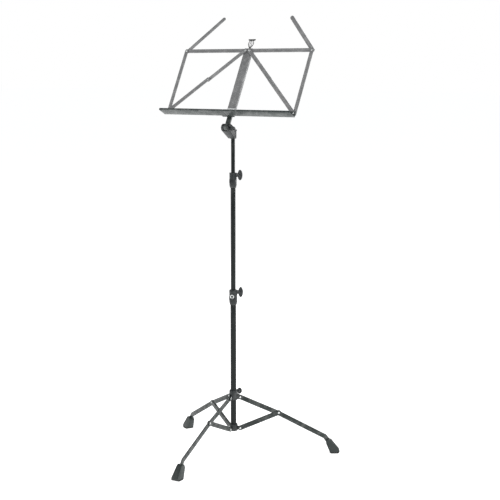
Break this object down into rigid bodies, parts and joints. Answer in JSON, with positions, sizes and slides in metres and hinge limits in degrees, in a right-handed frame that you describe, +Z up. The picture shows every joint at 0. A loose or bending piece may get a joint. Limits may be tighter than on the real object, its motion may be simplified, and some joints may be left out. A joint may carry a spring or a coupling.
{
  "type": "music stand",
  "caption": "Folding orchestra music stand: tripod with sliding collar, telescoping pole, tilting head and a folding flat-bar desk with a tray and page arms.",
  "frame": {"origin": "on the floor, under the pole's centre line", "axes": "+Z up the pole; +X across the desk; the desk faces -Y"},
  "size_m": [0.5833, 0.5257, 1.3461],
  "materials": {
    "black_coat": "satin powder coat",
    "desk_coat": "satin powder coat",
    "black_plastic": "fine moulded texture",
    "zinc": "zinc plate",
    "foot_plastic": "moulded"
  },
  "bodies": {
    "base": {"lower_tube": "black_coat", "base_hub": "black_coat", "lower_clamp": "black_plastic", "hub_rivet_front": "zinc", "hub_rivet_right": "zinc", "hub_rivet_left": "zinc"},
    "lower_clamp_screw": {"lower_clamp_screw": "black_plastic"},
    "collar": {"leg_collar": "black_plastic", "collar_rivet_front": "zinc", "collar_rivet_right": "zinc", "collar_rivet_left": "zinc"},
    "collar_screw": {"collar_screw": "black_plastic"},
    "middle_section": {"middle_tube": "black_coat", "upper_clamp": "black_plastic"},
    "upper_clamp_screw": {"upper_clamp_screw": "black_plastic"},
    "upper_section": {"upper_tube": "black_coat"},
    "head": {"desk_head": "black_plastic", "tilt_nut": "zinc"},
    "tilt_knob": {"tilt_knob": "black_plastic"},
    "desk": {"desk_column": "desk_coat", "desk_stem": "black_plastic", "tray_bracket": "black_plastic", "clip_plate": "desk_coat", "top_rivet_left": "zinc", "top_rivet_right": "zinc", "tray_rivet_left": "zinc", "tray_rivet_right": "zinc"},
    "page_clip": {"page_clip": "black_coat"},
    "brace_front": {"brace_front": "black_coat", "knee_rivet_front": "zinc"},
    "leg_front": {"leg_front": "black_coat", "foot_front": "foot_plastic"},
    "brace_right": {"brace_right": "black_coat", "knee_rivet_right": "zinc"},
    "leg_right": {"leg_right": "black_coat", "foot_right": "foot_plastic"},
    "brace_left": {"brace_left": "black_coat", "knee_rivet_left": "zinc"},
    "leg_left": {"leg_left": "black_coat", "foot_left": "foot_plastic"},
    "tray_left": {"tray_left": "desk_coat", "arm_rivet_left": "zinc"},
    "arm_left": {"arm_left": "desk_coat", "corner_rivet_left": "zinc"},
    "top_bar_left": {"top_bar_left": "desk_coat"},
    "ear_left": {"ear_left": "desk_coat"},
    "upper_stay_left": {"upper_stay_left": "desk_coat", "elbow_stud_left": "zinc"},
    "lower_stay_left": {"lower_stay_left": "desk_coat", "elbow_rivet_left": "zinc"},
    "tray_right": {"tray_right": "desk_coat", "arm_rivet_right": "zinc"},
    "arm_right": {"arm_right": "desk_coat", "corner_rivet_right": "zinc"},
    "top_bar_right": {"top_bar_right": "desk_coat"},
    "ear_right": {"ear_right": "desk_coat"},
    "upper_stay_right": {"upper_stay_right": "desk_coat", "elbow_stud_right": "zinc"},
    "lower_stay_right": {"lower_stay_right": "desk_coat", "elbow_rivet_right": "zinc"}
  },
  "joints": [
    {"name": "tripod_fold", "type": "hinge", "parent": "base", "child": "brace_front", "pos_m": [0.00146, -0.02095, 0.0785], "axis": [-0.9976, -0.0698, 0], "range_deg": [0, 58]},
    {"name": "leg_front_knee", "type": "hinge", "parent": "brace_front", "child": "leg_front", "pos_m": [0.00985, -0.14085, 0.12804], "axis": [-0.9976, -0.0698, 0], "range_deg": [-116, 0]},
    {"name": "brace_right_fold", "type": "hinge", "parent": "base", "child": "brace_right", "pos_m": [0.01741, 0.01174, 0.0785], "axis": [0.5592, -0.829, 0], "range_deg": [0, 58]},
    {"name": "leg_right_knee", "type": "hinge", "parent": "brace_right", "child": "leg_right", "pos_m": [0.11705, 0.07895, 0.12804], "axis": [0.5592, -0.829, 0], "range_deg": [-116, 0]},
    {"name": "brace_left_fold", "type": "hinge", "parent": "base", "child": "brace_left", "pos_m": [-0.01887, 0.00921, 0.0785], "axis": [0.4384, 0.8988, 0], "range_deg": [0, 58]},
    {"name": "leg_left_knee", "type": "hinge", "parent": "brace_left", "child": "leg_left", "pos_m": [-0.1269, 0.06189, 0.12804], "axis": [0.4384, 0.8988, 0], "range_deg": [-116, 0]},
    {"name": "collar_slide_link", "type": "hinge", "parent": "leg_front", "child": "collar", "pos_m": [0.00146, -0.02095, 0.17758], "axis": [-0.9976, -0.0698, 0], "range_deg": [0, 58]},
    {"name": "collar_screw_turn", "type": "hinge", "parent": "collar", "child": "collar_screw", "pos_m": [0.00939, 0.01766, 0.19508], "axis": [0.4695, 0.8829, 0], "continuous": true},
    {"name": "lower_clamp_screw_turn", "type": "hinge", "parent": "base", "child": "lower_clamp_screw", "pos_m": [0.01638, 0.01147, 0.5085], "axis": [0.8192, 0.5736, 0], "continuous": true},
    {"name": "middle_tube_slide", "type": "slide", "parent": "base", "child": "middle_section", "axis": [0, 0, 1], "range_m": [-0.31, 0.02]},
    {"name": "upper_clamp_screw_turn", "type": "hinge", "parent": "middle_section", "child": "upper_clamp_screw", "pos_m": [0.01638, 0.01147, 0.8685], "axis": [0.8192, 0.5736, 0], "continuous": true},
    {"name": "upper_tube_slide", "type": "slide", "parent": "middle_section", "child": "upper_section", "axis": [0, 0, 1], "range_m": [-0.1, 0.23]},
    {"name": "head_turn", "type": "hinge", "parent": "upper_section", "child": "head", "pos_m": [0, 0, 0.989], "axis": [0, 0, 1], "continuous": true},
    {"name": "tilt_knob_turn", "type": "hinge", "parent": "head", "child": "tilt_knob", "pos_m": [0.02, -0.032, 1.0125], "axis": [1, 0, 0], "continuous": true},
    {"name": "desk_tilt", "type": "hinge", "parent": "head", "child": "desk", "pos_m": [0, -0.032, 1.0125], "axis": [1, 0, 0], "range_deg": [-50, 27]},
    {"name": "page_clip_flex", "type": "hinge", "parent": "desk", "child": "page_clip", "pos_m": [0, 0.08984, 1.25042], "axis": [-1, 0, 0], "range_deg": [0, 30], "stiffness_Nm_per_rad": 0.06},
    {"name": "tray_left_fold", "type": "hinge", "parent": "desk", "child": "tray_left", "pos_m": [-0.0072, -0.01549, 1.05459], "axis": [0, 0.891, -0.454], "range_deg": [0, 90]},
    {"name": "arm_left_turn", "type": "hinge", "parent": "tray_left", "child": "arm_left", "pos_m": [-0.231, -0.01549, 1.05459], "axis": [0, 0.891, -0.454], "range_deg": [-90, 0]},
    {"name": "top_bar_left_turn", "type": "hinge", "parent": "desk", "child": "top_bar_left", "pos_m": [-0.0072, 0.07971, 1.24144], "axis": [0, 0.891, -0.454], "range_deg": [0, 90]},
    {"name": "upper_stay_left_turn", "type": "hinge", "parent": "desk", "child": "upper_stay_left", "pos_m": [-0.0072, 0.07971, 1.24144], "axis": [0, 0.891, -0.454], "range_deg": [-46.91, 0]},
    {"name": "lower_stay_left_turn", "type": "hinge", "parent": "tray_left", "child": "lower_stay_left", "pos_m": [-0.231, -0.01549, 1.05459], "axis": [0, 0.891, -0.454], "range_deg": [0, 43.19]},
    {"name": "ear_left_turn", "type": "hinge", "parent": "top_bar_left", "child": "ear_left", "pos_m": [-0.231, 0.07971, 1.24144], "axis": [0, 0.891, -0.454], "range_deg": [-90, 46.7]},
    {"name": "tray_right_fold", "type": "hinge", "parent": "desk", "child": "tray_right", "pos_m": [0.0072, -0.01549, 1.05459], "axis": [0, -0.891, 0.454], "range_deg": [0, 90]},
    {"name": "arm_right_turn", "type": "hinge", "parent": "tray_right", "child": "arm_right", "pos_m": [0.231, -0.01549, 1.05459], "axis": [0, -0.891, 0.454], "range_deg": [-90, 0]},
    {"name": "top_bar_right_turn", "type": "hinge", "parent": "desk", "child": "top_bar_right", "pos_m": [0.0072, 0.07971, 1.24144], "axis": [0, -0.891, 0.454], "range_deg": [0, 90]},
    {"name": "upper_stay_right_turn", "type": "hinge", "parent": "desk", "child": "upper_stay_right", "pos_m": [0.0072, 0.07971, 1.24144], "axis": [0, -0.891, 0.454], "range_deg": [-46.91, 0]},
    {"name": "lower_stay_right_turn", "type": "hinge", "parent": "tray_right", "child": "lower_stay_right", "pos_m": [0.231, -0.01549, 1.05459], "axis": [0, -0.891, 0.454], "range_deg": [0, 43.19]},
    {"name": "ear_right_turn", "type": "hinge", "parent": "top_bar_right", "child": "ear_right", "pos_m": [0.231, 0.07971, 1.24144], "axis": [0, -0.891, 0.454], "range_deg": [-90, 46.7]}
  ],
  "couplings": [
    {"joint": "leg_front_knee", "follows": "tripod_fold", "ratio": -2},
    {"joint": "brace_right_fold", "follows": "tripod_fold", "ratio": 1},
    {"joint": "leg_right_knee", "follows": "tripod_fold", "ratio": -2},
    {"joint": "brace_left_fold", "follows": "tripod_fold", "ratio": 1},
    {"joint": "leg_left_knee", "follows": "tripod_fold", "ratio": -2},
    {"joint": "collar_slide_link", "follows": "tripod_fold", "ratio": 1},
    {"joint": "arm_left_turn", "follows": "tray_left_fold", "ratio": -1},
    {"joint": "top_bar_left_turn", "follows": "tray_left_fold", "ratio": 1},
    {"joint": "upper_stay_left_turn", "follows": "tray_left_fold", "ratio": -0.5207},
    {"joint": "lower_stay_left_turn", "follows": "tray_left_fold", "ratio": 0.4793},
    {"joint": "arm_right_turn", "follows": "tray_right_fold", "ratio": -1},
    {"joint": "top_bar_right_turn", "follows": "tray_right_fold", "ratio": 1},
    {"joint": "upper_stay_right_turn", "follows": "tray_right_fold", "ratio": -0.5207},
    {"joint": "lower_stay_right_turn", "follows": "tray_right_fold", "ratio": 0.4793}
  ]
}
